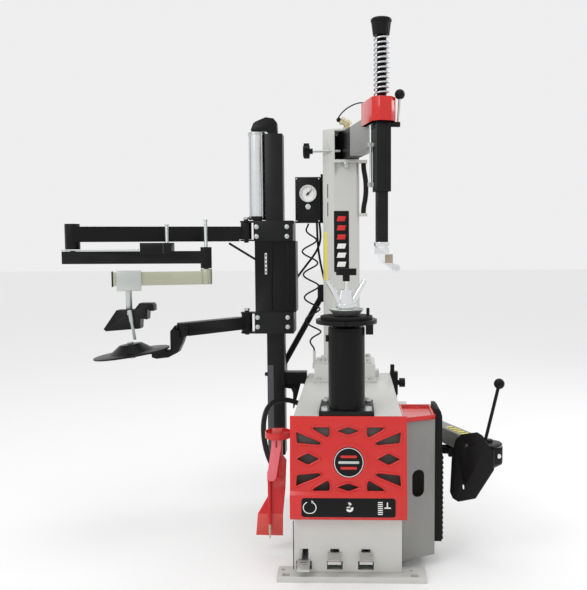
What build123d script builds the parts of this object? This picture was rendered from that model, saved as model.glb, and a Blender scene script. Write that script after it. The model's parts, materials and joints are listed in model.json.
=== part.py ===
"""Swing-arm tyre changer with a bead breaker and a wheel-holding assist unit.

Millimetres. +Z is up, +X is to the operator's right and -Y is toward the operator.
The origin is on the floor at the centre of the four anchor holes.
"""

import math
import os

from build123d import *

# ---------------------------------------------------------------- driving dimensions
# cabinet on its two floor feet
FOOT_X = (-250, 283)
FOOT_Y = (368, 453)
FOOT_HEIGHT = 21
ANCHOR_X = 230
ANCHOR_Y = 396
ANCHOR_RADIUS = 7
CABINET_X = (-188, 196)
CABINET_Y = (-416, 416)
CABINET_Z = (FOOT_HEIGHT, 591)
SHEET = 3
PEDAL_X = (-154.5, -44, 67.5)
PEDAL_AXIS = (-250, 80)  # Y, Z of the pedal shaft

# turntable post
POST_CENTRE = (0, -320)
POST_RADIUS = 66.5
POST_TOP = 896
DRIVE_SHAFT_RADIUS = 20
CENTRE_SHAFT_RADIUS = 18
RUNNING_GAP = 0.05  # radial clearance of every running fit

# tower and swing arm
TOWER_X = (-108, 53)
TOWER_Y = (240, 400)
TOWER_TOP = 1698
ARM_PIVOT = (-4, 290)
HEAD_AXIS = (133, -200)
ARM_Z = (1565, 1687)

# bead breaker
BREAKER_PIVOT = (235, 250)
BREAKER_DIRECTION = (0.4319, -0.9019)
BREAKER_ARM_LENGTH = 706
BREAKER_PIN_AT = 650
BREAKER_ARM_Z = (410, 470)
BREAKER_ROD_Y = -128
BREAKER_ROD_Z = 388
BLADE_LEFT = (377, -290)
BLADE_ANGLE = -40.14

# assist unit
MAST_X = (-364, -286)
MAST_Y = (270, 350)
MAST_Z = (240, 1685)
MAST_GAP = 1
UPPER_HINGE = (-448, 250)
LOWER_HINGE = (-450, 250)
ELBOW = (-1167, 100)
WRIST = (-597, 100)
BAR_END = (-960, -7)
LOWER_ELBOW = (-675, -5)
LIFT_DISC_CENTRE = (-879, -42, 762)
LIFT_DISC_TILT = 8
LIFT_DISC_RADIUS = 152

# hoses
COIL_HOSE_DIAMETER = 7.5
COIL_OUTER_DIAMETER = 76

os.makedirs("parts", exist_ok=True)


# ---------------------------------------------------------------- shared shapes
def block(x, y, z, mode=Mode.ADD):
    """A block between two limits on each axis, in the part being built."""
    centre = ((x[0] + x[1]) / 2, (y[0] + y[1]) / 2, (z[0] + z[1]) / 2)
    with Locations(centre):
        Box(x[1] - x[0], y[1] - y[0], z[1] - z[0], mode=mode)


def rod(start, end, radius, mode=Mode.ADD):
    """A round rod from one centre point to another."""
    reach = Vector(*end) - Vector(*start)
    with Locations(Plane(origin=start, z_dir=reach)):
        Cylinder(radius, reach.length, align=(Align.CENTER, Align.CENTER, Align.MIN), mode=mode)


def ball(centre, radius):
    """A knob's ball."""
    with Locations(centre):
        Sphere(radius)


def plate(plane, outline, thickness, mode=Mode.ADD):
    """A flat plate with a straight-sided outline drawn on a plane."""
    with BuildSketch(plane, mode=Mode.PRIVATE) as face:
        with BuildLine():
            Polyline(*outline, close=True)
        make_face()
    extrude(face.sketch, amount=thickness, mode=mode)


def beam(start, direction, along, width, z, mode=Mode.ADD):
    """A level beam between two distances from a start point along a plan direction."""
    plane = Plane(origin=(start[0], start[1], z[0]), x_dir=(direction[0], direction[1], 0), z_dir=(0, 0, 1))
    with Locations(plane * Location(((along[0] + along[1]) / 2, 0, 0))):
        Box(
            along[1] - along[0],
            width,
            z[1] - z[0],
            align=(Align.CENTER, Align.CENTER, Align.MIN),
            mode=mode,
        )


def direction_between(start, end):
    """The plan direction and length from one point to another."""
    dx = end[0] - start[0]
    dy = end[1] - start[1]
    length = math.hypot(dx, dy)
    return (dx / length, dy / length), length


def hex_bolt(x, y, z, flats, shank_radius, shank_length):
    """A hexagon bolt standing on a plate at height z, with its washer and shank."""
    washer = 3
    rod((x, y, z), (x, y, z + washer), flats * 0.62)
    with BuildSketch(Plane.XY.offset(z + washer), mode=Mode.PRIVATE) as head:
        with Locations((x, y)):
            RegularPolygon(flats / 2, 6, major_radius=False)
    extrude(head.sketch, amount=flats * 0.42)
    rod((x, y, z - shank_length), (x, y, z), shank_radius)


def bend_radii(points):
    """The largest bend at each inner point of a hose: 0.45 of its shorter run over tan(half the turn)."""
    radii = []
    for before, corner, after in zip(points, points[1:], points[2:]):
        run_in = Vector(*corner) - Vector(*before)
        run_out = Vector(*after) - Vector(*corner)
        half_turn = math.radians(run_in.get_angle(run_out)) / 2
        radii.append(0.45 * min(run_in.length, run_out.length) / math.tan(half_turn))
    return radii


def save(piece, name):
    """Label a finished piece and write its STEP file."""
    piece.part.label = name
    export_step(piece.part, f"parts/{name}.step")


def profile_yz(x):
    """A sketch plane facing +X whose first axis is Y and second is Z."""
    return Plane(origin=(x, 0, 0), x_dir=(0, 1, 0), z_dir=(1, 0, 0))


def profile_xz(y):
    """A sketch plane facing -Y whose first axis is X and second is Z."""
    return Plane(origin=(0, y, 0), x_dir=(1, 0, 0), z_dir=(0, -1, 0))


# ---------------------------------------------------------------- floor feet
with BuildPart() as floor_feet:
    for side in (-1, 1):
        edges = sorted((side * FOOT_Y[0], side * FOOT_Y[1]))
        block(FOOT_X, edges, (0, FOOT_HEIGHT))
        for x in (-ANCHOR_X, ANCHOR_X):
            hole_at = (x, side * ANCHOR_Y)
            rod((*hole_at, -1), (*hole_at, FOOT_HEIGHT + 1), ANCHOR_RADIUS, mode=Mode.SUBTRACT)
        for x in (-217, 239):
            slot_y = sorted((side * 426, side * 446))
            block((x - 13, x + 13), slot_y, (-1, FOOT_HEIGHT + 1), mode=Mode.SUBTRACT)
save(floor_feet, "floor_feet")

# ---------------------------------------------------------------- cabinet
with BuildPart() as cabinet_shell:
    block(CABINET_X, CABINET_Y, CABINET_Z)
    block(
        (CABINET_X[0] + SHEET, CABINET_X[1] - SHEET),
        (CABINET_Y[0] + SHEET, CABINET_Y[1] - SHEET),
        (CABINET_Z[0] - 1, CABINET_Z[1] - SHEET),
        mode=Mode.SUBTRACT,
    )
    for x in PEDAL_X:
        block((x - 16, x + 16), (-420, -410), (62, 107), mode=Mode.SUBTRACT)
        block((x - 28, x + 28), (-420, -410), (31, 62.01), mode=Mode.SUBTRACT)
    rod((*POST_CENTRE, 580), (*POST_CENTRE, 600), 40, mode=Mode.SUBTRACT)
    rod((190, BREAKER_ROD_Y, BREAKER_ROD_Z), (200, BREAKER_ROD_Y, BREAKER_ROD_Z), 22, mode=Mode.SUBTRACT)
    # pedal shaft welded between the side walls
    rod((CABINET_X[0] + 1, *PEDAL_AXIS), (CABINET_X[1] - 1, *PEDAL_AXIS), 8)
    # bracket and pin of the bead breaker's arm
    for low in (393, 475):
        block((195, 262), (222, 278), (low, low + 12))
    block((195, 199.5), (222, 278), (393, 487))
    rod((*BREAKER_PIVOT, 396), (*BREAKER_PIVOT, 484), 10)
save(cabinet_shell, "cabinet_shell")

# ---------------------------------------------------------------- red front cover
COVER_X = (-200, 212)
COVER_CENTRE = (6, 442)  # X and Z about which the openings repeat
COVER_LEAN = math.atan2(25, 261)  # the upper face leans back toward the top
with BuildPart() as front_cover:
    plate(
        profile_yz(COVER_X[0]),
        [(-416.5, 591), (-422, 591), (-447, 330), (-458, 318), (-458, 240), (-450, 228), (-416.5, 228)],
        COVER_X[1] - COVER_X[0],
    )
    plate(
        profile_yz(COVER_X[0] + 5),
        [(-416.4, 565), (-419.5, 565), (-442, 330), (-453, 314), (-453, 243), (-447, 234), (-416.4, 234)],
        COVER_X[1] - COVER_X[0] - 10,
        mode=Mode.SUBTRACT,
    )
    upper = [
        [(-129, 114), (-63, 114), (-61.5, 83.5), (-72, 70), (-127, 102)],
        [(-188, 99), (-104, 65), (-91, 56), (-100, 45), (-184, 53)],
    ]
    for across in (-1, 1):
        for up in (-1, 1):
            for outline in upper:
                corners = [(COVER_CENTRE[0] + across * x, COVER_CENTRE[1] + up * z) for x, z in outline]
                plate(profile_xz(-412), corners, 60, mode=Mode.SUBTRACT)
        diamond = [(-188.5, 0), (-142, 24.5), (-95.5, 0), (-142, -24.5)]
        corners = [(COVER_CENTRE[0] + across * x, COVER_CENTRE[1] + z) for x, z in diamond]
        plate(profile_xz(-412), corners, 60, mode=Mode.SUBTRACT)
        lens = [(-48, 98), (0, 115.5), (48, 98), (0, 80.5)]
        corners = [(COVER_CENTRE[0] + x, COVER_CENTRE[1] + across * z) for x, z in lens]
        plate(profile_xz(-412), corners, 60, mode=Mode.SUBTRACT)
    boss_at = Plane(
        origin=(7.5, -437.3, 431),
        x_dir=(1, 0, 0),
        z_dir=(0, -math.cos(COVER_LEAN), math.sin(COVER_LEAN)),
    )
    with Locations(boss_at):
        Cylinder(67, 6, align=(Align.CENTER, Align.CENTER, Align.CENTER))
    with Locations(boss_at.offset(1.5)):
        Cylinder(54, 6, align=(Align.CENTER, Align.CENTER, Align.MIN), mode=Mode.SUBTRACT)
save(front_cover, "front_cover")

# ---------------------------------------------------------------- side housing, tray and bead pad
HOUSING_PLAN = [(196, -372), (324, -310), (324, -153), (196, -153)]
HOUSING_INSIDE = [(195, -369), (321.5, -308.3), (321.5, -155.5), (195, -155.5)]
with BuildPart() as side_housing:
    plate(Plane.XY.offset(43), HOUSING_PLAN, 513)
    plate(Plane.XY.offset(45.5), HOUSING_INSIDE, 508, mode=Mode.SUBTRACT)
    slot_plane = Plane(origin=(260, -400, 323), x_dir=(1, 0, 0), z_dir=(0, 1, 0))
    with BuildSketch(slot_plane):
        SlotOverall(101, 45, rotation=90)
    extrude(amount=90, mode=Mode.SUBTRACT)
save(side_housing, "side_housing")

with BuildPart() as tool_tray:
    plate(Plane.XY.offset(556), [(199, -380), (324, -319.5), (324, -150), (199, -150)], 17)
    plate(Plane.XY.offset(561), [(209, -364), (314, -313), (314, -160), (209, -160)], 13, mode=Mode.SUBTRACT)
save(tool_tray, "tool_tray")

with BuildPart() as bead_pad:
    plate(
        profile_xz(-162),
        [(324, 88), (352, 88), (352, 560), (347, 578), (338, 588), (324, 588)],
        138,
    )
    for rib in range(17):
        low = 96 + 19 * rib
        block((351, 357), (-300, -162), (low, low + 11))
save(bead_pad, "bead_pad")

# ---------------------------------------------------------------- turntable post and drive
with BuildPart() as post:
    block((-98, 98), (-418, -222), (591, 606))
    rod((*POST_CENTRE, 606), (*POST_CENTRE, POST_TOP), POST_RADIUS)
    rod((*POST_CENTRE, 590), (*POST_CENTRE, 860), 58, mode=Mode.SUBTRACT)
    rod((*POST_CENTRE, 859), (*POST_CENTRE, 897), DRIVE_SHAFT_RADIUS + RUNNING_GAP, mode=Mode.SUBTRACT)
    block((-76, -64), (-330, -310), (843, 866))
    rod((*POST_CENTRE, 840), (*POST_CENTRE, 860), 58, mode=Mode.SUBTRACT)
    for x in (-76, 76):
        for y in (-396, -244):
            rod((x, y, 590), (x, y, 607), 8.2, mode=Mode.SUBTRACT)
save(post, "post")

with BuildPart() as machine_bolts:
    for x in (-76, 76):
        for y in (-396, -244):
            hex_bolt(x, y, 606, 24, 8, 15)
    for x, y in ((-109, 232), (92, 235), (92, 370)):
        hex_bolt(x, y, 678, 20, 7, 9)
    for x in (-128, 100):
        hex_bolt(x, 189.5, 603, 14, 5, 12)
    # the shelf bolt hangs head down under the tower's shelf
    rod((-4, 222, 1542), (-4, 222, 1550), 14)
    rod((-4, 222, 1526), (-4, 222, 1542), 10)
save(machine_bolts, "machine_bolts")

with BuildPart() as gearbox:
    block((-70, 70), (-390, -250), (430, 588))
    rod((*POST_CENTRE, 568), (*POST_CENTRE, 589), DRIVE_SHAFT_RADIUS + RUNNING_GAP, mode=Mode.SUBTRACT)
    rod((60, -262, 480), (60, -249, 480), 12 + RUNNING_GAP, mode=Mode.SUBTRACT)
    fillet(gearbox.edges().filter_by(Axis.Z).group_by(Axis.Y)[0], 12)
save(gearbox, "gearbox")

GEARBOX_PULLEY = (60, 480, 90)  # X, Z and radius
MOTOR_PULLEY = (60, 250, 30)
with BuildPart() as gearbox_pulley:
    rod((60, -235, 480), (60, -215, 480), GEARBOX_PULLEY[2])
    rod((60, -260, 480), (60, -235, 480), 12)
save(gearbox_pulley, "gearbox_pulley")

with BuildPart() as motor_pulley:
    rod((60, -235, 250), (60, -215, 250), MOTOR_PULLEY[2])
    rod((60, -215, 250), (60, -190, 250), 10)
save(motor_pulley, "motor_pulley")

with BuildPart() as motor:
    rod((60, -200, 250), (60, 0, 250), 70)
    rod((60, -201, 250), (60, -185, 250), 10 + RUNNING_GAP, mode=Mode.SUBTRACT)
    block((100, 193), (-180, -20), (215, 285))
save(motor, "motor")


def belt_outline(grow):
    """The closed loop around both pulleys, at a distance outside them."""
    large = GEARBOX_PULLEY[2] + grow
    small = MOTOR_PULLEY[2] + grow
    drop = GEARBOX_PULLEY[1] - MOTOR_PULLEY[1]
    lean = math.asin((large - small) / drop)
    across = math.cos(lean)
    down = math.sin(lean)
    middle = GEARBOX_PULLEY[0]
    high = GEARBOX_PULLEY[1]
    low = MOTOR_PULLEY[1]
    return [
        (middle - large * across, high - large * down),
        (middle + large * across, high - large * down),
        (middle + small * across, low - small * down),
        (middle - small * across, low - small * down),
    ]


with BuildPart() as drive_belt:
    for grow, mode in ((6.3, Mode.ADD), (0.3, Mode.SUBTRACT)):
        with BuildSketch(profile_xz(-216), mode=Mode.PRIVATE) as loop:
            with BuildLine():
                Polyline(*belt_outline(grow), close=True)
            make_face()
            for x, z, radius in (GEARBOX_PULLEY, MOTOR_PULLEY):
                with Locations((x, z)):
                    Circle(radius + grow)
        extrude(loop.sketch, amount=18, mode=mode)
save(drive_belt, "drive_belt")

# ---------------------------------------------------------------- pedals
PEDALS = (
    ("rotation_pedal", PEDAL_X[0], 44, 57, 50),
    ("clamp_pedal", PEDAL_X[1], 48, 80, 78),
    ("breaker_pedal", PEDAL_X[2], 46, 80, 79),
)
for name, x, width, lever_z, pad_z in PEDALS:
    with BuildPart() as pedal:
        lever = [(-262, 70), (-262, 90), (-424, lever_z + 10), (-424, lever_z - 8)]
        plate(profile_yz(x - 9), lever, 18)
        rod((x - 12, *PEDAL_AXIS), (x + 12, *PEDAL_AXIS), 17)
        rod((x - 13, *PEDAL_AXIS), (x + 13, *PEDAL_AXIS), 8 + RUNNING_GAP, mode=Mode.SUBTRACT)
        pad = [(-421, pad_z + 20), (-466, pad_z + 3), (-468, pad_z - 4), (-461, pad_z - 8), (-421, pad_z + 10)]
        plate(profile_yz(x - width / 2), pad, width)
        heel = [(-421, pad_z + 12), (-430, pad_z + 8), (-430, pad_z - 9), (-421, pad_z - 9)]
        plate(profile_yz(x - 9), heel, 18)
    save(pedal, name)

# ---------------------------------------------------------------- turntable
with BuildPart() as turntable_disc:
    rod((*POST_CENTRE, 910), (*POST_CENTRE, 925), 111)
    rod((*POST_CENTRE, 898), (*POST_CENTRE, 910), 50)
    rod((*POST_CENTRE, 570), (*POST_CENTRE, 898), DRIVE_SHAFT_RADIUS)
    rod((*POST_CENTRE, 925), (*POST_CENTRE, 1024), CENTRE_SHAFT_RADIUS)
    block((70, 97), (-335, -305), (869, 910.5))
    block((-6, 6), (-435, -425), (909, 926), mode=Mode.SUBTRACT)
    rod((78, -320, 925), (78, -320, 965), 6)
save(turntable_disc, "turntable_disc")

with BuildPart() as turntable_pad:
    rod((*POST_CENTRE, 925), (*POST_CENTRE, 937), 95)
    rod((*POST_CENTRE, 924), (*POST_CENTRE, 938), 30, mode=Mode.SUBTRACT)
    rod((78, -320, 924), (78, -320, 938), 6.3, mode=Mode.SUBTRACT)
save(turntable_pad, "turntable_pad")

with BuildPart() as center_cone:
    with BuildSketch(Plane.XZ.offset(-POST_CENTRE[1])):
        with BuildLine():
            Polyline(
                (CENTRE_SHAFT_RADIUS + RUNNING_GAP, 939),
                (45, 939),
                (64, 961),
                (61, 963),
                (43, 943),
                (27, 943),
                (27, 965.5),
                (CENTRE_SHAFT_RADIUS + RUNNING_GAP, 965.5),
                close=True,
            )
        make_face()
    revolve(axis=Axis((*POST_CENTRE, 0), (0, 0, 1)))
save(center_cone, "center_cone")

with BuildPart() as clamp_nut:
    rod((*POST_CENTRE, 966), (*POST_CENTRE, 980), 38)
    rod((*POST_CENTRE, 980), (*POST_CENTRE, 1032), 24)
    for side in (-1, 1):
        rod((side * 16, -320, 972), (side * 68, -320, 1066), 9.5)
    rod((*POST_CENTRE, 965), (*POST_CENTRE, 1027), CENTRE_SHAFT_RADIUS + RUNNING_GAP, mode=Mode.SUBTRACT)
    rod((*POST_CENTRE, 1032), (*POST_CENTRE, 1062), 7)
    rod((*POST_CENTRE, 1062), (*POST_CENTRE, 1084), 13)
    block((-37, 37), (-333, -307), (1084, 1108))
    fillet(clamp_nut.edges().filter_by(Axis.Z).group_by(Axis.Z)[-1], 12)
save(clamp_nut, "clamp_nut")

# ---------------------------------------------------------------- riser and tower
with BuildPart() as riser_box:
    block((-152, 126), (179, 410), (591, 603))
    block((-147, 121), (200, 405), (603, 668))
    block((-143, 117), (204, 401), (590, 664), mode=Mode.SUBTRACT)
    block((121, 139), (250, 300), (602, 633))
    block((-160, -145), (282, 298), (636, 662))
    rod((-152, 290, 661), (-152, 290, 716), 6)
    for x in (-128, 100):
        rod((x, 189.5, 590), (x, 189.5, 604), 5.2, mode=Mode.SUBTRACT)
save(riser_box, "riser_box")

TOWER_PLAN = [(-108, 275), (-59, 240), (41, 240), (53, 252), (53, 400), (-108, 400)]
TOWER_INSIDE = [(-104, 277), (-57.7, 244), (39.4, 244), (49, 253.6), (49, 396), (-104, 396)]
with BuildPart() as tower_column:
    plate(Plane.XY.offset(668), TOWER_PLAN, TOWER_TOP - 668)
    block((-125, 108), (218, 405), (668, 678))
    plate(Plane.XY.offset(667), TOWER_INSIDE, 891, mode=Mode.SUBTRACT)
    block((-54, 60), (235, 390), (1562, 1690), mode=Mode.SUBTRACT)
    block((-58, 53), (211, 240.5), (1550, 1562))
    for foot in (1318, 1549):
        block((52, 88), (236, 266), (foot, foot + 13))
    for side in (-58, 49):
        plate(profile_yz(side), [(240.5, 1490), (212, 1550), (240.5, 1550)], 4)
    rod((*ARM_PIVOT, 1558), (*ARM_PIVOT, 1692), 14)
    for x, y in ((-109, 232), (92, 235), (92, 370)):
        rod((x, y, 667), (x, y, 679), 7.2, mode=Mode.SUBTRACT)
    rod((-120, 250, 1603), (-50, 250, 1603), 5.5 + RUNNING_GAP, mode=Mode.SUBTRACT)
save(tower_column, "tower_column")

with BuildPart() as gauge_box:
    block((-231, -120), (275, 325), (1292, 1494))
    block((-228, -123), (278, 322), (1295, 1491), mode=Mode.SUBTRACT)
    block((-120, -108), (312, 325), (1292, 1510))
    rod((-174, 274, 1363), (-174, 279, 1363), 12.3, mode=Mode.SUBTRACT)
    rod((-174, 266, 1421), (-174, 282, 1421), 38)
    rod((-174, 265, 1421), (-174, 276, 1421), 34, mode=Mode.SUBTRACT)
    rod((-174, 275, 1421), (-174, 283, 1421), 1.5 + RUNNING_GAP, mode=Mode.SUBTRACT)
save(gauge_box, "gauge_box")

with BuildPart() as gauge_needle:
    rod((-174, 269, 1421), (-174, 280, 1421), 1.5)
    rod((-174, 269, 1421), (-174, 272, 1421), 5)
    needle = Plane(origin=(-174, 272, 1421), x_dir=(0.7071, 0, 0.7071), z_dir=(0, -1, 0))
    plate(needle, [(-12, -2.5), (28, -0.8), (28, 0.8), (-12, 2.5)], 2)
save(gauge_needle, "gauge_needle")

with BuildPart() as inflate_button:
    rod((-174, 268, 1363), (-174, 284, 1363), 12)
save(inflate_button, "inflate_button")

# ---------------------------------------------------------------- swing arm and mount head
arm_direction, arm_length = direction_between(ARM_PIVOT, HEAD_AXIS)
head_side = (-arm_direction[1], arm_direction[0])
with BuildPart() as swing_arm:
    beam(ARM_PIVOT, arm_direction, (0, arm_length - 27.5), 58, ARM_Z)
    rod((*ARM_PIVOT, ARM_Z[0]), (*ARM_PIVOT, ARM_Z[1]), 36)
    beam(ARM_PIVOT, arm_direction, (60, arm_length - 33), 50, (ARM_Z[0] + 4, ARM_Z[1] - 4), mode=Mode.SUBTRACT)
    rod((*ARM_PIVOT, 1560), (*ARM_PIVOT, 1690), 14 + RUNNING_GAP, mode=Mode.SUBTRACT)
save(swing_arm, "swing_arm")

with BuildPart() as guide_sleeve:
    beam(HEAD_AXIS, arm_direction, (-27.5, 27.5), 55, (1391, 1660))
    beam(HEAD_AXIS, arm_direction, (-19.5, 19.5), 39, (1390, 1661), mode=Mode.SUBTRACT)
    # locking rod down the left flank with its upper and lower lugs
    stop = (
        HEAD_AXIS[0] - 36 * head_side[0] - 22 * arm_direction[0],
        HEAD_AXIS[1] - 36 * head_side[1] - 22 * arm_direction[1],
    )
    rod((*stop, 1409), (*stop, 1640), 5)
    for lug in (1412, 1560):
        beam(stop, head_side, (-12, 12), 10, (lug, lug + 14))
    beam(HEAD_AXIS, arm_direction, (-19.5, 19.5), 39, (1390, 1661), mode=Mode.SUBTRACT)
    # ears and pin for the locking lever on the right flank
    block((158, 201), (-214, -210), (1628, 1646.5))
    rod((193, -210, 1637), (193, -190, 1637), 4)
save(guide_sleeve, "guide_sleeve")

with BuildPart() as head_cover:
    hood = Plane(
        origin=(*HEAD_AXIS, 1648),
        x_dir=(arm_direction[0], arm_direction[1], 0),
        z_dir=(0, 0, 1),
    )
    plate(hood, [(-115, -46), (24, -46), (48, -22), (48, 22), (24, 46), (-115, 46)], 88)
    plate(hood.offset(-1), [(-112, -43), (23, -43), (45, -21), (45, 21), (23, 43), (-112, 43)], 86, mode=Mode.SUBTRACT)
    beam(HEAD_AXIS, arm_direction, (-118, -100), 62, (1640, 1690), mode=Mode.SUBTRACT)
    rod((*HEAD_AXIS, 1730), (*HEAD_AXIS, 1740), 19, mode=Mode.SUBTRACT)
save(head_cover, "head_cover")

with BuildPart() as mount_shaft:
    beam(HEAD_AXIS, arm_direction, (-19, 19), 38, (1203, 1700))
    rod((*HEAD_AXIS, 1700), (*HEAD_AXIS, 1990), CENTRE_SHAFT_RADIUS)
save(mount_shaft, "mount_shaft")

SPRING_WIRE = 3.5
with BuildPart() as return_spring:
    with BuildLine() as coil:
        Helix(18, 216, 27.5, center=(*HEAD_AXIS, 1740.6))
    with BuildSketch(Plane(origin=coil.line @ 0, z_dir=coil.line % 0)):
        Circle(SPRING_WIRE)
    sweep(is_frenet=True)
save(return_spring, "return_spring")

with BuildPart() as shaft_cap:
    rod((*HEAD_AXIS, 1961), (*HEAD_AXIS, 2002), 30)
    rod((*HEAD_AXIS, 2002), (*HEAD_AXIS, 2028), 39)
    rod((*HEAD_AXIS, 1960), (*HEAD_AXIS, 1990), CENTRE_SHAFT_RADIUS + RUNNING_GAP, mode=Mode.SUBTRACT)
save(shaft_cap, "shaft_cap")

with BuildPart() as mount_head:
    rod((*HEAD_AXIS, 1187), (*HEAD_AXIS, 1203), 29.5)
    rod((*HEAD_AXIS, 1180), (*HEAD_AXIS, 1188), 24)
    block((107, 159), (-222, -178), (1156, 1182))
    plate(
        profile_xz(-180),
        [(119, 1157), (150, 1157), (178, 1122), (199, 1110), (196, 1093), (176, 1094), (150, 1112), (128, 1128)],
        14,
    )
    block((146, 175), (-196, -180), (1124, 1157))
    rod((187, -194, 1105), (187, -219, 1105), 5)
save(mount_head, "mount_head")

with BuildPart() as mount_roller:
    rod((187, -194.5, 1105), (187, -217, 1105), 15)
    rod((187, -190, 1105), (187, -220, 1105), 5 + RUNNING_GAP, mode=Mode.SUBTRACT)
save(mount_roller, "mount_roller")

with BuildPart() as lock_lever:
    rod((193, -209.5, 1637), (193, -191, 1637), 8)
    rod((193, -200, 1637), (200, -200, 1749), 4.5)
    rod((193, -211, 1637), (193, -189, 1637), 4 + RUNNING_GAP, mode=Mode.SUBTRACT)
    ball((200, -200, 1749), 19)
save(lock_lever, "lock_lever")

with BuildPart() as stop_knob:
    rod((-168, 250, 1603), (-29, 250, 1603), 5.5)
    with BuildSketch(profile_yz(-192)):
        with Locations((250, 1603)):
            Circle(25)
    extrude(amount=28)
    for step in range(5):
        angle = math.radians(90 + 72 * step)
        tip = (250 + 26 * math.cos(angle), 1603 + 26 * math.sin(angle))
        rod((-190, *tip), (-166, *tip), 9)
    rod((-164, 250, 1603), (-150, 250, 1603), 12)
save(stop_knob, "stop_knob")

# ---------------------------------------------------------------- bead breaker
with BuildPart() as breaker_cylinder:
    rod((-110, BREAKER_ROD_Y, BREAKER_ROD_Z), (180, BREAKER_ROD_Y, BREAKER_ROD_Z), 45)
    rod((-105, BREAKER_ROD_Y, BREAKER_ROD_Z), (170, BREAKER_ROD_Y, BREAKER_ROD_Z), 40, mode=Mode.SUBTRACT)
    rod(
        (169, BREAKER_ROD_Y, BREAKER_ROD_Z),
        (181, BREAKER_ROD_Y, BREAKER_ROD_Z),
        18 + RUNNING_GAP,
        mode=Mode.SUBTRACT,
    )
    block((-110, -105), (-150, -106), (340, 436))
    block((-188 + SHEET, -110), (-150, -106), (366, 410))
save(breaker_cylinder, "breaker_cylinder")

with BuildPart() as breaker_rod:
    rod((-85, BREAKER_ROD_Y, BREAKER_ROD_Z), (-55, BREAKER_ROD_Y, BREAKER_ROD_Z), 40 - RUNNING_GAP)
    rod((-60, BREAKER_ROD_Y, BREAKER_ROD_Z), (410, BREAKER_ROD_Y, BREAKER_ROD_Z), 18)
    block((396, 440), (-152, -104), (364, 400))
save(breaker_rod, "breaker_rod")

with BuildPart() as breaker_arm:
    beam(BREAKER_PIVOT, BREAKER_DIRECTION, (0, BREAKER_ARM_LENGTH), 60, BREAKER_ARM_Z)
    rod((*BREAKER_PIVOT, BREAKER_ARM_Z[0]), (*BREAKER_PIVOT, BREAKER_ARM_Z[1]), 34)
    corner_edges = breaker_arm.edges().filter_by(Axis.Z).sort_by(Axis.Y)[0:2]
    chamfer(corner_edges, 14)
    beam(BREAKER_PIVOT, BREAKER_DIRECTION, (50, 600), 52, (414, 466), mode=Mode.SUBTRACT)
    rod((*BREAKER_PIVOT, 400), (*BREAKER_PIVOT, 480), 10 + RUNNING_GAP, mode=Mode.SUBTRACT)
    pin_at = (
        BREAKER_PIVOT[0] + BREAKER_PIN_AT * BREAKER_DIRECTION[0],
        BREAKER_PIVOT[1] + BREAKER_PIN_AT * BREAKER_DIRECTION[1],
    )
    rod((*pin_at, 400), (*pin_at, 480), 8 + RUNNING_GAP, mode=Mode.SUBTRACT)
save(breaker_arm, "breaker_arm")

BLADE_TURN = math.radians(BLADE_ANGLE)
blade_along = (math.cos(BLADE_TURN), math.sin(BLADE_TURN))
blade_plane = Plane(
    origin=(*BLADE_LEFT, 0),
    x_dir=(blade_along[0], blade_along[1], 0),
    z_dir=(blade_along[1], -blade_along[0], 0),
)
clevis_plane = Plane(origin=(*BLADE_LEFT, 0), x_dir=(blade_along[0], blade_along[1], 0), z_dir=(0, 0, 1))
BLADE_OUTLINE = [
    (42.6, 246),
    (113, 275),
    (185, 395),
    (186, 463),
    (157.5, 487),
    (137, 511),
    (116, 519),
    (53, 501),
    (29.5, 478),
    (13.7, 417),
    (6.3, 275),
    (18, 254),
]
with BuildPart() as shovel:
    plate(blade_plane, BLADE_OUTLINE, -6)
    for level in (401.5, 472.5):
        clevis = [(96, 5), (184, 5), (184, 64), (160, 84), (116, 84), (96, 50)]
        plate(clevis_plane.offset(level), clevis, 6)
    rod((*pin_at, 402), (*pin_at, 484), 8)
    rod((*pin_at, 478), (*pin_at, 486), 14)
    rod((491, -375, 474), (542.5, -375, 698), 6)
    ball((542.5, -375, 698), 19)
    with Locations(blade_plane * Location((74.7, 463.6, 0))):
        Cylinder(6, 30, mode=Mode.SUBTRACT)
    with BuildSketch(blade_plane.offset(10)):
        with Locations((62.4, 306)):
            SlotOverall(19, 9, rotation=90)
    extrude(amount=-30, mode=Mode.SUBTRACT)
save(shovel, "shovel")

# ---------------------------------------------------------------- assist mast
with BuildPart() as assist_column:
    block(MAST_X, MAST_Y, MAST_Z)
    block((-359, -291), (275, 345), (235, 1600), mode=Mode.SUBTRACT)
    plate(
        profile_xz(335),
        [
            (-427, 1700),
            (-427, 1706),
            (-416, 1733),
            (-405, 1741),
            (-361, 1759),
            (-326, 1754),
            (-312, 1737),
            (-309, 1680),
            (-345, 1680),
            (-360, 1700),
        ],
        50,
    )
    # bracket out to the cabinet's side
    block((-286.5, -188), (280, 340), (566, 618))
    plate(
        profile_xz(316),
        [(-286.5, 566), (-215, 566), (-247, 448), (-252, 448), (-252, 520), (-260, 538), (-286.5, 542)],
        12,
    )
    block((-200, -188), (285, 335), (440, 566))
    # piston and rod of the lifting cylinder hang from the hook
    rod((-405, 310, 1480), (-405, 310, 1500), 30 - RUNNING_GAP)
    rod((-405, 310, 1500), (-405, 310, 1701), 10)
save(assist_column, "assist_column")

STRUT_LOW = (-300, 395, 640)
STRUT_HIGH = (-104, 395, 988)
with BuildPart() as brace_strut:
    rod(STRUT_LOW, STRUT_HIGH, 14)
    block((-324, -286), (350, 409), (600, 640))
    block((-140, -108), (381, 400), (930, 1010))
    block((-108, -80), (380, 420), (900, 1020), mode=Mode.SUBTRACT)
save(brace_strut, "brace_strut")

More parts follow.
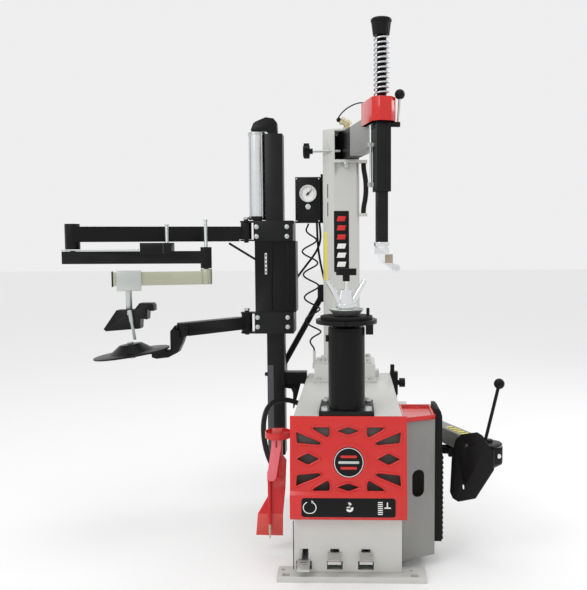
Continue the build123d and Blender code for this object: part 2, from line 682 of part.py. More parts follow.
with BuildPart() as carriage:
    block((-410, -229), (240, 375), (897, 1212))
    block((-405, -234), (245, 370), (890, 1220), mode=Mode.SUBTRACT)
    for low, high in ((1212, 1301), (802, 897)):
        block((-412, -239), (225, 378), (low, high))
        block((-404, -247), (233, 370), (low + 6.5, high - 6.5), mode=Mode.SUBTRACT)
    for hinge, levels in ((UPPER_HINGE, (1212, 1294.5)), (LOWER_HINGE, (802, 890.5))):
        for level in levels:
            rod((*hinge, level), (*hinge, level + 6.5), 27)
            block((hinge[0], -405), (228, 277), (level, level + 6.5))
    # seat of the lifting cylinder
    block((-440, -405), (277, 345), (1294.5, 1301))
    rod((-405, 310, 1301), (-405, 310, 1307), 20)
    block((-366 + MAST_GAP, -284 - MAST_GAP), (268 + MAST_GAP, 352 - MAST_GAP), (795, 1310), mode=Mode.SUBTRACT)
    rod((*UPPER_HINGE, 1205), (*UPPER_HINGE, 1308), 10)
    rod((*LOWER_HINGE, 796), (*LOWER_HINGE, 904), 10)
    # rest bar that carries the parked upper arm
    rod((-406, 246, 1130), (-523, 236, 1203), 5)
save(carriage, "carriage")

with BuildPart() as lift_cylinder:
    rod((-405, 310, 1307), (-405, 310, 1694), 37)
    rod((-405, 310, 1321), (-405, 310, 1680), 30, mode=Mode.SUBTRACT)
    rod((-405, 310, 1679), (-405, 310, 1695), 10 + RUNNING_GAP, mode=Mode.SUBTRACT)
save(lift_cylinder, "lift_cylinder")

# ---------------------------------------------------------------- upper press arms
upper_direction, upper_length = direction_between(UPPER_HINGE, ELBOW)
with BuildPart() as press_arm_1:
    beam(UPPER_HINGE, upper_direction, (31, upper_length), 60, (1211, 1276))
    beam(UPPER_HINGE, upper_direction, (40, upper_length - 30), 52, (1215, 1272), mode=Mode.SUBTRACT)
    beam(UPPER_HINGE, upper_direction, (0, 40), 40, (1220, 1276))
    rod((*UPPER_HINGE, 1219.5), (*UPPER_HINGE, 1293.5), 24)
    rod((*UPPER_HINGE, 1219), (*UPPER_HINGE, 1294), 10 + RUNNING_GAP, mode=Mode.SUBTRACT)
    rod((*ELBOW, 1173), (*ELBOW, 1288), 31)
    rod((*ELBOW, 1121), (*ELBOW, 1174), 10)
save(press_arm_1, "press_arm_1")

fold_direction, fold_length = direction_between(ELBOW, WRIST)
with BuildPart() as press_arm_2:
    beam(ELBOW, fold_direction, (-39, fold_length), 50, (1118, 1171))
    beam(ELBOW, fold_direction, (40, fold_length - 40), 42, (1122, 1167), mode=Mode.SUBTRACT)
    rod((*WRIST, 1098), (*WRIST, 1187), 23.5)
    rod((*ELBOW, 1117), (*ELBOW, 1172), 10 + RUNNING_GAP, mode=Mode.SUBTRACT)
    block((-871, -738), (72, 128), (1160, 1206))
    rod((*WRIST, 1187), (*WRIST, 1299), 7)
    rod((-758, 84, 1206), (-758, 84, 1279), 7)
    rod((*WRIST, 1033), (*WRIST, 1099), 10)
save(press_arm_2, "press_arm_2")

bar_direction, bar_length = direction_between(WRIST, BAR_END)
with BuildPart() as press_arm_3:
    beam(WRIST, bar_direction, (15, bar_length), 25, (1030, 1085))
    rod((*WRIST, 1030), (*WRIST, 1095), 24)
    rod((*WRIST, 1029), (*WRIST, 1096), 10 + RUNNING_GAP, mode=Mode.SUBTRACT)
    beam(WRIST, bar_direction, (bar_length, bar_length + 6), 31, (1026, 1089))
save(press_arm_3, "press_arm_3")

SLIDER_AT = 316
with BuildPart() as press_slider:
    beam(WRIST, bar_direction, (SLIDER_AT - 49, SLIDER_AT + 49), 45, (1009, 1091))
    beam(WRIST, bar_direction, (SLIDER_AT - 50, SLIDER_AT + 50), 25.6, (1029.7, 1085.3), mode=Mode.SUBTRACT)
    rod((-902, 10, 933), (-902, 10, 1010), 13)
save(press_slider, "press_slider")

with BuildPart() as press_foot:
    plate(
        profile_xz(35),
        [
            (-1003, 852),
            (-948, 930),
            (-873, 933),
            (-852, 959),
            (-801, 959),
            (-794, 950),
            (-794, 927),
            (-806, 927),
            (-819, 933),
            (-822, 892),
            (-849, 896),
            (-852, 854),
            (-994, 843),
        ],
        50,
    )
    block((-896, -880), (-36, -14), (912, 928))
    rod((-888, -32, 932), (-880, -32, 884), 8.5)
    rod((-880.5, -32, 887), (-868, -32, 811), 6.5)
    rod((-902, 10, 900), (-902, 10, 933), 13 + RUNNING_GAP, mode=Mode.SUBTRACT)
    rod((-902, 10, 900), (-902, 10, 932.9), 13 + RUNNING_GAP)
save(press_foot, "press_foot")

# ---------------------------------------------------------------- lower roller arms and lifting disc
lower_direction, lower_length = direction_between(LOWER_HINGE, LOWER_ELBOW)
with BuildPart() as roller_arm_1:
    beam(LOWER_HINGE, lower_direction, (31, lower_length - 10), 50, (823, 877))
    beam(LOWER_HINGE, lower_direction, (36, lower_length - 45), 42, (827, 873), mode=Mode.SUBTRACT)
    rod((*LOWER_ELBOW, 818), (*LOWER_ELBOW, 850), 27, mode=Mode.SUBTRACT)
    beam(LOWER_HINGE, lower_direction, (0, 40), 40, (825, 876))
    rod((*LOWER_HINGE, 810), (*LOWER_HINGE, 889.5), 24)
    rod((*LOWER_HINGE, 809), (*LOWER_HINGE, 890), 10 + RUNNING_GAP, mode=Mode.SUBTRACT)
    rod((*LOWER_ELBOW, 850), (*LOWER_ELBOW, 877), 25)
    rod((*LOWER_ELBOW, 824), (*LOWER_ELBOW, 851), 8)
save(roller_arm_1, "roller_arm_1")

disc_normal = (-math.sin(math.radians(LIFT_DISC_TILT)), 0, math.cos(math.radians(LIFT_DISC_TILT)))
disc_slope = (math.cos(math.radians(LIFT_DISC_TILT)), 0, math.sin(math.radians(LIFT_DISC_TILT)))
disc_plane = Plane(origin=LIFT_DISC_CENTRE, x_dir=disc_slope, z_dir=disc_normal)
with BuildPart() as roller_arm_2:
    rod((*LOWER_ELBOW, 824), (*LOWER_ELBOW, 849), 24)
    rod((*LOWER_ELBOW, 823), (*LOWER_ELBOW, 850), 8 + RUNNING_GAP, mode=Mode.SUBTRACT)
    plate(
        profile_xz(15),
        [
            (-684, 820),
            (-684, 849),
            (-700, 849),
            (-703, 868),
            (-722, 845),
            (-722, 768),
            (-800, 757),
            (-800, 738),
            (-781, 732),
            (-730, 738),
            (-692, 758),
            (-672, 800),
            (-666, 820),
        ],
        50,
    )
    rod((*LOWER_ELBOW, 815), (*LOWER_ELBOW, 852), 8 + RUNNING_GAP, mode=Mode.SUBTRACT)
    with Locations(disc_plane * Location((58, 0, -13))):
        Box(170, 40, 10)
    with Locations(disc_plane * Location((0, 0, -22))):
        Cylinder(8, 62, align=(Align.CENTER, Align.CENTER, Align.MIN))
    with Locations(disc_plane * Location((0, 0, 35))):
        Cylinder(13, 6, align=(Align.CENTER, Align.CENTER, Align.MIN))
    with Locations(disc_plane * Location((0, 0, -26))):
        Cylinder(12, 8, align=(Align.CENTER, Align.CENTER, Align.MIN))
save(roller_arm_2, "roller_arm_2")

with BuildPart() as lift_disc:
    with BuildSketch(Plane(origin=LIFT_DISC_CENTRE, x_dir=disc_slope, z_dir=(0, -1, 0))):
        with BuildLine():
            Polyline(
                (8 + RUNNING_GAP, 27),
                (8 + RUNNING_GAP, 34),
                (45, 33),
                (90, 0.5),
                (LIFT_DISC_RADIUS, -1),
                (LIFT_DISC_RADIUS, -7),
                (86, -7),
                (42, 26),
                close=True,
            )
        make_face()
    revolve(axis=Axis(LIFT_DISC_CENTRE, disc_normal))
save(lift_disc, "lift_disc")

# ---------------------------------------------------------------- air regulator
with BuildPart() as regulator_unit:
    block((196, 232), (385, 425), (494, 600))
    rod((207, 405, 600), (207, 405, 633), 10)
    rod((214, 405, 440), (214, 405, 494), 15)
    rod((232, 405, 548), (238, 405, 548), 12)
    rod((237, 405, 548), (250, 405, 548), 5)
save(regulator_unit, "regulator_unit")

with BuildPart() as regulator_knob:
    rod((239, 405, 548), (266, 405, 548), 21)
    rod((238, 405, 548), (251, 405, 548), 5 + RUNNING_GAP, mode=Mode.SUBTRACT)
save(regulator_knob, "regulator_knob")

# ---------------------------------------------------------------- bead blast tool on its hanger
with BuildPart() as blast_tool:
    rod((-262, -250, 468), (-262, -250, 492), 48)
    rod((-262, -250, 460), (-262, -250, 500), 45, mode=Mode.SUBTRACT)
    block((-215, -188), (-262, -238), (470, 490))
    block((-282, -246), (-262, -240), (300, 500))
    block((-247, -214), (-256, -244), (472, 488))
    block((-303, -246), (-262, -240), (300, 336))
    rod((-296, -251, 130), (-296, -251, 301), 7)
    rod((-296, -251, 96), (-296, -251, 131), 5)
    rod((-296, -251, 76), (-296, -251, 97), 3)
    plate(
        profile_xz(-240),
        [(-297, 248), (-343, 167), (-246, 167), (-236, 268), (-231, 378), (-249, 404), (-262, 404), (-285, 320)],
        3,
    )
    fold = Plane(origin=(0, -240, 167), x_dir=(1, 0, 0), z_dir=(0, -0.9848, -0.1736))
    plate(fold, [(-343, 1), (-246, 1), (-249, -93), (-353, -91)], 3)
    rod((-259, -262, 309), (-259, -268, 309), 12)
save(blast_tool, "blast_tool")

with BuildPart() as blast_lever:
    rod((-282, -272, 480), (-247, -272, 480), 5)
    lever_plane = Plane(origin=(0, -276, 0), x_dir=(1, 0, 0), z_dir=(0, -1, 0))
    plate(
        lever_plane,
        [(-282, 484), (-247, 484), (-247, 440), (-266, 322), (-275, 308), (-295, 308), (-302, 322), (-284, 440)],
        4,
    )
    block((-268, -261), (-290, -260), (436, 462), mode=Mode.SUBTRACT)
save(blast_lever, "blast_lever")

# ---------------------------------------------------------------- hoses
# Each route lists hand-chosen points; every bend is as wide as its two runs allow.
HOSES = {
    "tower_hose": (
        22,
        [
            (72, 249, 1549),
            (72, 249, 1525),
            (80, 245, 1485),
            (83, 245, 1440),
            (80, 248, 1395),
            (71, 252, 1355),
            (71, 252, 1331),
        ],
    ),
    "air_hose_a": (
        10,
        [
            (-138, 319, 1292),
            (-137, 328, 1250),
            (-136, 338, 1205),
            (-132, 346, 1160),
            (-125, 350, 1115),
            (-116, 349, 1072),
            (-107, 345, 1036),
        ],
    ),
    "air_hose_b": (
        10,
        [
            (-126, 303, 1292),
            (-122, 320, 1255),
            (-123, 340, 1215),
            (-136, 359, 1176),
            (-161, 374, 1138),
            (-192, 385, 1100),
            (-226, 392, 1056),
            (-258, 396, 1010),
            (-285, 399, 958),
            (-305, 402, 902),
            (-318, 403, 845),
            (-324, 402, 790),
            (-327, 399, 738),
            (-328, 392, 690),
            (-331, 374, 655),
            (-335, 351, 638),
        ],
    ),
    "blast_hose": (
        22,
        [
            (-188, 240, 470),
            (-226, 228, 492),
            (-268, 205, 510),
            (-306, 168, 516),
            (-332, 118, 512),
            (-344, 60, 498),
            (-346, 0, 478),
            (-342, -60, 452),
            (-332, -116, 420),
            (-316, -164, 384),
            (-294, -202, 350),
            (-268, -228, 330),
            (-258, -240, 320),
        ],
    ),
}
for name, (diameter, points) in HOSES.items():
    radii = bend_radii(points)
    with BuildPart() as hose:
        with BuildLine() as route:
            FilletPolyline(*points, radius=radii)
        with BuildSketch(Plane(origin=route.line @ 0, z_dir=route.line % 0)):
            Circle(diameter / 2)
        sweep()
    length = sum(edge.length for edge in route.edges())
    expected = math.pi * diameter**2 / 4 * length
    print(
        f"{name}: length {length:.0f} mm, least bend {min(radii) / diameter:.1f} diameters,",
        f"volume over section times length {hose.part.volume / expected:.4f}",
    )
    save(hose, name)

# the curly hose fills a sleeve as wide as its coils, from the gauge box down to the riser
with BuildPart() as curly_hose:
    rod((-174, 290, 1290), (-152, 290, 716), COIL_OUTER_DIAMETER / 2)
save(curly_hose, "curly_hose")
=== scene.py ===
"""Looks of the tyre changer: materials, rounded edges, labels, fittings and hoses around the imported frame."""

import json
import math

import bmesh
import bpy
from mathutils import Matrix, Vector


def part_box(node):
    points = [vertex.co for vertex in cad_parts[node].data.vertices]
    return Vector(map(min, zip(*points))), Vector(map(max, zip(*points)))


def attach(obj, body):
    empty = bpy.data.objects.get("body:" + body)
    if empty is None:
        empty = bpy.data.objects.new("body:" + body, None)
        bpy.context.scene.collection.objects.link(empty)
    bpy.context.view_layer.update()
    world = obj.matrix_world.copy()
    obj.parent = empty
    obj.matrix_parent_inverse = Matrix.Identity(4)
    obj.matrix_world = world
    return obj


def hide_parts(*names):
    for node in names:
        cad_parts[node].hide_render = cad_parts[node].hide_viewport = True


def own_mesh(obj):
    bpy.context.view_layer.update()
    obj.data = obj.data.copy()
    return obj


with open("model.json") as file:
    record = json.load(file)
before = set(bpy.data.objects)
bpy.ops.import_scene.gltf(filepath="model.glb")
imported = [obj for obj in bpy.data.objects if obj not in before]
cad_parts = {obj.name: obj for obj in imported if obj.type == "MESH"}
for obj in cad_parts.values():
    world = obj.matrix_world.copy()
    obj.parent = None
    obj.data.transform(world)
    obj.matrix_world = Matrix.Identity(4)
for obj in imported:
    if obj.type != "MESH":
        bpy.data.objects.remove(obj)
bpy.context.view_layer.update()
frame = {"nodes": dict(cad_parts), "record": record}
MM = 0.001
FULL_TURN = 2 * math.pi
FLAT_LIMIT = math.radians(0.6)  # faces that bend less than this are one face
SHARP_LIMIT = math.radians(28)  # edges that bend more than this get rounded
CAP_AXIS = (131, -200)
SPRING_AXIS = (0.133, -0.2)
SPRING_RADIUS = 0.0275
SPRING_WIRE_RADIUS = 0.0035
SPRING_FOOT = 1.7406
SPRING_HEIGHT = 0.216
GAUGE_X = -174
GAUGE_Z = 1421
BREAKER_DIRECTION = (0.4319, -0.9019, 0)
COVER_MIDDLE = (6, 442)  # X and Z of the middle of the cover's openings
BODY_OF = {n: body for body, names in frame["record"]["behaviour"]["bodies"].items() for n in names}
SLOT_OF = {s["node"]: s["material_slot"] for s in frame["record"]["subparts"]}


# ---------------------------------------------------------------- materials
def material(
    name,
    color,
    rough,
    metal=0.0,
    coat=0.0,
    vary=0.06,
    grain=0.15,
    scale=900.0,
    stretch=None,
    worn=None,
    shine=0.5,
):
    """A surface with mottled colour, uneven roughness, fine grain and softly worn edges."""
    mat = bpy.data.materials.new(name)
    mat.use_nodes = True
    nodes = mat.node_tree.nodes
    links = mat.node_tree.links
    shader = nodes["Principled BSDF"]
    shader.inputs["Metallic"].default_value = metal
    shader.inputs["Coat Weight"].default_value = coat
    shader.inputs["Coat Roughness"].default_value = 0.12
    shader.inputs["Specular IOR Level"].default_value = shine
    place = nodes.new("ShaderNodeTexCoord")
    mapping = nodes.new("ShaderNodeMapping")
    mapping.inputs["Scale"].default_value = stretch or (1, 1, 1)
    links.new(place.outputs["Object"], mapping.inputs["Vector"])
    cloud = nodes.new("ShaderNodeTexNoise")
    cloud.inputs["Scale"].default_value = 9.0
    cloud.inputs["Detail"].default_value = 6.0
    links.new(place.outputs["Object"], cloud.inputs["Vector"])
    fine = nodes.new("ShaderNodeTexNoise")
    fine.inputs["Scale"].default_value = scale
    fine.inputs["Detail"].default_value = 3.0
    links.new(mapping.outputs["Vector"], fine.inputs["Vector"])
    tint = nodes.new("ShaderNodeMix")
    tint.data_type = "RGBA"
    tint.inputs["A"].default_value = [c * (1 - vary) for c in color] + [1]
    tint.inputs["B"].default_value = [min(1, c * (1 + vary)) for c in color] + [1]
    links.new(cloud.outputs["Fac"], tint.inputs["Factor"])
    out = tint.outputs["Result"]
    if worn:
        edge = nodes.new("ShaderNodeNewGeometry")
        ramp = nodes.new("ShaderNodeValToRGB")
        ramp.color_ramp.elements[0].position = 0.53
        ramp.color_ramp.elements[1].position = 0.62
        links.new(edge.outputs["Pointiness"], ramp.inputs["Fac"])
        patch = nodes.new("ShaderNodeMath")
        patch.operation = "MULTIPLY"
        links.new(ramp.outputs["Color"], patch.inputs[0])
        links.new(cloud.outputs["Fac"], patch.inputs[1])
        wear = nodes.new("ShaderNodeMix")
        wear.data_type = "RGBA"
        wear.inputs["B"].default_value = [*worn, 1]
        links.new(patch.outputs["Value"], wear.inputs["Factor"])
        links.new(out, wear.inputs["A"])
        out = wear.outputs["Result"]
    links.new(out, shader.inputs["Base Color"])
    spread = nodes.new("ShaderNodeMapRange")
    spread.inputs["To Min"].default_value = max(0.03, rough - 0.07)
    spread.inputs["To Max"].default_value = min(1.0, rough + 0.09)
    links.new(cloud.outputs["Fac"], spread.inputs["Value"])
    links.new(spread.outputs["Result"], shader.inputs["Roughness"])
    bump = nodes.new("ShaderNodeBump")
    bump.inputs["Strength"].default_value = grain
    bump.inputs["Distance"].default_value = 0.0004
    links.new(fine.outputs["Fac"], bump.inputs["Height"])
    links.new(bump.outputs["Normal"], shader.inputs["Normal"])
    return mat


MAT = {
    "light_grey": material(
        "light_grey",
        (0.58, 0.58, 0.555),
        0.38,
        coat=0.1,
        shine=0.35,
        vary=0.03,
        grain=0.2,
        scale=500,
    ),
    "grey_paint": material(
        "grey_paint",
        (0.27, 0.27, 0.26),
        0.42,
        coat=0.05,
        shine=0.3,
        vary=0.05,
        grain=0.2,
        scale=500,
    ),
    "red_plastic": material(
        "red_plastic",
        (0.60, 0.013, 0.010),
        0.22,
        coat=0.5,
        shine=0.3,
        vary=0.07,
        grain=0.12,
        scale=700,
    ),
    "red_paint": material(
        "red_paint",
        (0.60, 0.012, 0.014),
        0.26,
        coat=0.3,
        shine=0.25,
        vary=0.08,
        grain=0.1,
        worn=(0.75, 0.25, 0.2),
    ),
    # Black paint; also used as painted shade on the tower head's inner faces and on the swing arm's rear part.
    "black_paint": material(
        "black_paint",
        (0.0035, 0.0035, 0.004),
        0.36,
        coat=0.04,
        shine=0.16,
        vary=0.2,
        grain=0.3,
        scale=650,
        worn=(0.03, 0.03, 0.032),
    ),
    "black_plastic": material(
        "black_plastic",
        (0.005, 0.005, 0.0055),
        0.42,
        shine=0.18,
        vary=0.15,
        grain=0.5,
        scale=1200,
    ),
    "rubber": material("rubber", (0.006, 0.006, 0.006), 0.62, shine=0.2, vary=0.25, grain=0.7, scale=800),
    "hose": material("hose", (0.006, 0.006, 0.006), 0.45, shine=0.2, vary=0.2, grain=0.5, scale=900),
    "zinc": material(
        "zinc",
        (0.55, 0.58, 0.56),
        0.34,
        metal=0.85,
        vary=0.1,
        grain=0.35,
        scale=260,
        stretch=(1, 1, 9),
    ),
    "yellow_zinc": material(
        "yellow_zinc",
        (0.47, 0.48, 0.37),
        0.4,
        metal=0.75,
        vary=0.12,
        grain=0.3,
        scale=200,
        stretch=(1, 8, 8),
    ),
    "chrome": material("chrome", (0.78, 0.79, 0.80), 0.12, metal=1.0, vary=0.04, grain=0.08, scale=400),
    "aluminium": material(
        "aluminium",
        (0.72, 0.74, 0.75),
        0.24,
        metal=0.95,
        vary=0.05,
        grain=0.2,
        scale=300,
        stretch=(9, 9, 1),
    ),
    "spring_steel": material("spring_steel", (0.62, 0.63, 0.65), 0.22, metal=1.0, vary=0.06, grain=0.15),
    "cast_iron": material("cast_iron", (0.09, 0.09, 0.10), 0.6, metal=0.5, vary=0.2, grain=0.8, scale=350),
    "brass": material("brass", (0.60, 0.53, 0.36), 0.3, metal=1.0, vary=0.1, grain=0.3, scale=400),
    "white_print": material("white_print", (0.82, 0.82, 0.80), 0.45, vary=0.02, grain=0.05),
    "yellow_print": material("yellow_print", (0.80, 0.70, 0.10), 0.4, vary=0.04, grain=0.05),
    # Pink red: painted highlight, the gloss on the blast tool's red lever put into its colour.
    "red_with_painted_highlight": material("red_with_painted_highlight", (0.80, 0.12, 0.16), 0.2, coat=0.7, vary=0.05, grain=0.05),
    # Dark brown: painted shade for the inside of the cabinet as seen through the cover's openings.
    "shade_sheet_behind_openings": material("shade_sheet_behind_openings", (0.10, 0.085, 0.078), 0.6, vary=0.15, grain=0.3, shine=0.2),
    "beige": material("beige", (0.42, 0.36, 0.27), 0.5, vary=0.08, grain=0.3),
}


# ---------------------------------------------------------------- mesh helpers
def piece(name, bm, body, mats, smooth=40):
    """A finished mesh piece that rides on a body."""
    mesh = bpy.data.meshes.new(name)
    bm.to_mesh(mesh)
    bm.free()
    for poly in mesh.polygons:
        poly.use_smooth = True
    mesh.set_sharp_from_angle(angle=math.radians(smooth))
    for m in mats:
        mesh.materials.append(MAT[m])
    obj = bpy.data.objects.new(name, mesh)
    bpy.context.scene.collection.objects.link(obj)
    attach(obj, body)
    return obj


def soften(node, width, regions=(), segments=2, base=None, cut_y=None, eased_hole=None):
    """A copy of a CAD node with rounded edges and several finishes, which replaces the node."""
    bm = bmesh.new()
    bm.from_mesh(frame["nodes"][node].data)
    bmesh.ops.remove_doubles(bm, verts=bm.verts, dist=2e-5)
    bmesh.ops.dissolve_limit(bm, angle_limit=FLAT_LIMIT, verts=bm.verts, edges=bm.edges)
    if width:
        sharp = [e for e in bm.edges if e.is_manifold and e.calc_face_angle() > SHARP_LIMIT]
        bmesh.ops.bevel(
            bm,
            geom=sharp,
            offset=width * MM,
            segments=segments,
            profile=0.5,
            affect="EDGES",
            clamp_overlap=True,
        )
    if eased_hole:
        x, y, radius = eased_hole
        for v in bm.verts:
            away = Vector((v.co.x - x * MM, v.co.y - y * MM, 0))
            if away.length < radius * MM:
                v.co += away.normalized() * 0.6 * MM
    if cut_y is not None:
        everything = list(bm.verts) + list(bm.edges) + list(bm.faces)
        bmesh.ops.bisect_plane(bm, geom=everything, plane_co=(0, cut_y * MM, 0), plane_no=(0, 1, 0))
    names = [base or SLOT_OF[node]]
    for mat_name, _ in regions:
        if mat_name not in names:
            names.append(mat_name)
    for face in bm.faces:
        centre = face.calc_center_median() / MM
        for mat_name, inside in regions:
            if inside(centre):
                face.material_index = names.index(mat_name)
    obj = piece(node + "_skin", bm, BODY_OF[node], names, 32)
    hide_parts(node)
    return obj


def slab(name, outline, depth, place, body, mat, bevel=0.6):
    """A thin plate from an outline in millimetres, with rounded edges, set on a plane."""
    bm = bmesh.new()
    ring = [bm.verts.new((x * MM, y * MM, 0)) for x, y in outline]
    bm.faces.new(ring)
    top = bmesh.ops.extrude_face_region(bm, geom=list(bm.faces))
    bmesh.ops.translate(
        bm,
        vec=(0, 0, depth * MM),
        verts=[v for v in top["geom"] if isinstance(v, bmesh.types.BMVert)],
    )
    bmesh.ops.recalc_face_normals(bm, faces=bm.faces)
    if bevel:
        edges = [e for e in bm.edges if e.calc_face_angle(0) > 0.9]
        bmesh.ops.bevel(
            bm,
            geom=edges,
            offset=bevel * MM,
            segments=2,
            profile=0.5,
            affect="EDGES",
            clamp_overlap=True,
        )
    bmesh.ops.transform(bm, matrix=place, verts=bm.verts)
    return piece(name, bm, body, [mat])


def rounded(width, height, radius, steps=5):
    """A rounded rectangle centred on the origin."""
    points = []
    for cx, cy, start in ((1, 1, 0), (-1, 1, 90), (-1, -1, 180), (1, -1, 270)):
        for i in range(steps + 1):
            a = math.radians(start + 90 * i / steps)
            x = cx * (width / 2 - radius) + radius * math.cos(a)
            y = cy * (height / 2 - radius) + radius * math.sin(a)
            points.append((x, y))
    return points


def circle(radius, steps):
    """A regular polygon on the origin."""
    return [
        (radius * math.cos(FULL_TURN * i / steps), radius * math.sin(FULL_TURN * i / steps))
        for i in range(steps)
    ]


def facing(x, y, z, normal=(0, -1, 0), right=(1, 0, 0)):
    """A placement whose local X runs along right and whose local Z looks along normal."""
    n = Vector(normal).normalized()
    r = Vector(right).normalized()
    up = n.cross(r)
    m = Matrix((r, up, n)).transposed().to_4x4()
    m.translation = Vector((x, y, z)) * MM
    return m


def turned(name, profile, place, body, mat, steps=40):
    """A turned piece: a profile of radius and height in millimetres, spun about the placement's Z axis."""
    bm = bmesh.new()
    verts = [bm.verts.new((r * MM, 0, h * MM)) for r, h in profile]
    edges = [bm.edges.new((a, b)) for a, b in zip(verts, verts[1:])]
    bmesh.ops.spin(bm, geom=verts + edges, cent=(0, 0, 0), axis=(0, 0, 1), angle=FULL_TURN, steps=steps)
    bmesh.ops.remove_doubles(bm, verts=bm.verts, dist=1e-6)
    bmesh.ops.recalc_face_normals(bm, faces=bm.faces)
    bmesh.ops.transform(bm, matrix=place, verts=bm.verts)
    return piece(name, bm, body, [mat], 45)


def bolt_head(name, place, body, flats=13, mat="zinc"):
    """A hexagon head on a washer, both with softened edges."""
    turned(
        name + "_washer",
        [(0.1, 0), (flats * 0.72, 0), (flats * 0.72, 1.4), (flats * 0.66, 1.8), (0.1, 1.8)],
        place,
        body,
        mat,
        24,
    )
    head = place @ Matrix.Translation((0, 0, 1.8 * MM))
    return slab(name, circle(flats * 0.577, 6), flats * 0.45, head, body, mat, 0.9)


def tube_along(name, points, radius, body, mat, steps=10):
    """A round tube through a list of points in metres."""
    bm = bmesh.new()
    rings = []
    side = None
    for i, p in enumerate(points):
        a = points[max(0, i - 1)]
        b = points[min(len(points) - 1, i + 1)]
        along = (Vector(b) - Vector(a)).normalized()
        if side is None:
            side = along.orthogonal().normalized()
        side = (side - along * side.dot(along)).normalized()
        other = along.cross(side)
        ring = []
        for k in range(steps):
            angle = FULL_TURN * k / steps
            ring.append(
                bm.verts.new(Vector(p) + radius * (side * math.cos(angle) + other * math.sin(angle)))
            )
        rings.append(ring)
    for one, two in zip(rings, rings[1:]):
        for k in range(steps):
            bm.faces.new((one[k], one[(k + 1) % steps], two[(k + 1) % steps], two[k]))
    bm.faces.new(rings[0][::-1])
    bm.faces.new(rings[-1])
    bmesh.ops.recalc_face_normals(bm, faces=bm.faces)
    return piece(name, bm, body, [mat], 60)


def spline(name, points, radius):
    """A smooth NURBS line through the route of a hose, with its thickness."""
    curve = bpy.data.curves.new(name, "CURVE")
    curve.dimensions = "3D"
    line = curve.splines.new("NURBS")
    line.points.add(len(points) - 1)
    for target, p in zip(line.points, points):
        target.co = (p[0] * MM, p[1] * MM, p[2] * MM, 1)
    line.order_u = 3
    line.use_endpoint_u = True
    curve.resolution_u = 12
    curve.bevel_depth = radius * MM
    curve.bevel_resolution = 5
    curve.use_fill_caps = True
    obj = bpy.data.objects.new(name, curve)
    bpy.context.scene.collection.objects.link(obj)
    return obj


# ---------------------------------------------------------------- CAD nodes with rounded edges
ROUNDING = {
    "floor_feet": 1.5,
    "cabinet_shell": 2.0,
    "side_housing": 1.2,
    "tool_tray": 2.0,
    "post": 1.0,
    "riser_box": 2.0,
    "assist_column": 2.0,
    "carriage": 1.2,
    "press_arm_1": 2.0,
    "roller_arm_1": 2.0,
    "press_slider": 1.5,
    "turntable_disc": 1.0,
    "turntable_pad": 1.2,
    "bead_pad": 1.5,
    "gauge_box": 1.2,
    "rotation_pedal": 1.2,
    "clamp_pedal": 1.2,
    "breaker_pedal": 1.2,
    "regulator_unit": 1.5,
    "regulator_knob": 1.5,
    "center_cone": 0.6,
    "mount_roller": 1.2,
    "gearbox": 2.0,
    "motor": 2.0,
    "breaker_rod": 1.2,
    "machine_bolts": 0.5,
    "blast_lever": 0.8,
    "brace_strut": 0.8,
    "lift_cylinder": 0,
    "gearbox_pulley": 0.8,
    "motor_pulley": 0.8,
    "drive_belt": 0.5,
    "breaker_cylinder": 0.8,
    "gauge_needle": 0,
    "inflate_button": 0.8,
}
# The blast tool's lever takes the pink red, a painted highlight.
BASE = {"blast_lever": "red_with_painted_highlight", "inflate_button": "zinc"}
for node, width in ROUNDING.items():
    soften(node, width, base=BASE.get(node))

soften("front_cover", 2.4, segments=3)
# Painted shade: the inner faces at the top of the tower's open head are painted black, standing in for the dark
# inside of the head.
soften(
    "tower_column",
    2.0,
    [("black_paint", lambda c: c.z > 1562.5 and (abs(c.x + 54) < 1 or 380 < c.y < 391))],
)
# Painted shade: the swing arm is cut at y = 120, and its rear part, which runs into the tower's head, is
# painted black for the dark inside of the head.
soften("swing_arm", 2.0, [("black_paint", lambda c: c.y > 120)], cut_y=120)
soften("head_cover", 5.0, segments=3, eased_hole=(*CAP_AXIS, 27))
soften("guide_sleeve", 2.0, [("zinc", lambda c: c.x < 101.5 and c.z < 1642 and c.y > -196)])
soften("mount_shaft", 1.5, [("black_paint", lambda c: c.z < 1700)])
soften("mount_head", 1.2, [("beige", lambda c: c.x > 145.5 and c.y > -197 and 1123.5 < c.z < 1157.5)])
soften("lock_lever", 0.6, [("zinc", lambda c: c.z < 1731)])
soften("stop_knob", 1.2, [("zinc", lambda c: c.x > -150.5)])
soften("breaker_arm", 2.0, [("black_paint", lambda c: c.y < -370)])
soften("shovel", 1.5)
soften(
    "press_arm_2",
    1.8,
    [("zinc", lambda c: c.z > 1187.5 and not -872 < c.x < -766), ("zinc", lambda c: c.z > 1206.5)],
)
bar_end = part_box("press_arm_3")[0][0] / MM
soften("press_arm_3", 1.2, [("black_plastic", lambda c: c.x < bar_end + 14)], base="yellow_zinc")
soften("press_foot", 1.5, [("zinc", lambda c: c.y < -22)])
soften(
    "roller_arm_2",
    1.5,
    [("zinc", lambda c: c.z > 788 and c.x < -860), ("zinc", lambda c: c.x < -860 and c.z < 744)],
)
soften("lift_disc", 0.8)
soften(
    "clamp_nut",
    0.8,
    [("black_plastic", lambda c: c.z > 1061.5 and abs(c.x) < 38)],
)
soften(
    "blast_tool",
    0.8,
    [("brass", lambda c: c.z < 131 and -303 < c.x < -289 and c.y < -243.5)],
)


